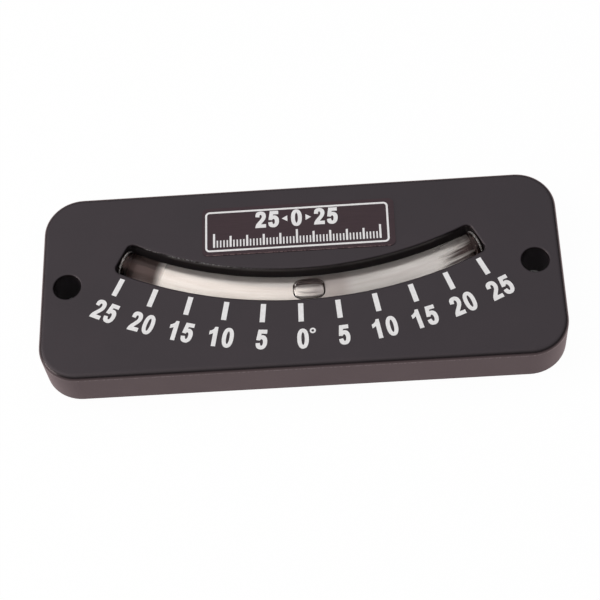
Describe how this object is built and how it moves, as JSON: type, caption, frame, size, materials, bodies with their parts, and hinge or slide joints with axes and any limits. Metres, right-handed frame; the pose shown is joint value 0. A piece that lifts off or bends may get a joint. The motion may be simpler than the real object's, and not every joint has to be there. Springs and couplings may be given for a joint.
{
  "type": "inclinometer",
  "caption": "Flat black moulded case with an arc-shaped window over a curved liquid vial and its bubble, a degree scale below it, a label plate above it and a fixing hole at each end.",
  "frame": {"origin": "middle of the flat back face, which is the face that the case is screwed on by", "axes": "+X along the case to the right of the dial, +Y up the dial, +Z out of the dial face; the part lies on its back"},
  "size_m": [0.11, 0.0438, 0.0098],
  "materials": {
    "case_plastic": "fine satin moulded texture, almost black with a faint warm violet cast",
    "cover_plastic": "matt moulded plastic, slightly darker than the case",
    "screw_steel": "plain zinc-plated steel",
    "label_plastic": "thin satin plate, a little browner than the case, printed in white",
    "white_print": "opaque white marking paint, slightly uneven",
    "vial_clear": "clear polished tube",
    "vial_liquid": "clear liquid",
    "gas_bubble": "clear bubble with a dark rim",
    "reflector_silver": "satin silver-white backing",
    "black_rubber": "matt black rubber"
  },
  "bodies": {
    "case": {"housing": "case_plastic", "back_cover": "cover_plastic", "cover_screws": "screw_steel", "label_plate": "label_plastic", "scale_marks": "white_print", "vial_tube": "vial_clear", "vial_cap_left": "black_rubber", "vial_cap_right": "black_rubber", "liquid": "vial_liquid", "reflector": "reflector_silver", "cushion_left": "black_rubber", "cushion_right": "black_rubber"},
    "bubble": {"bubble": "gas_bubble"}
  },
  "joints": [
    {"name": "bubble_travel", "type": "hinge", "parent": "case", "child": "bubble", "pos_m": [0, 0.0815, 0.00645], "axis": [0, 0, 1], "range_deg": [-24.8, 22.4], "deforming": ["liquid"]}
  ]
}
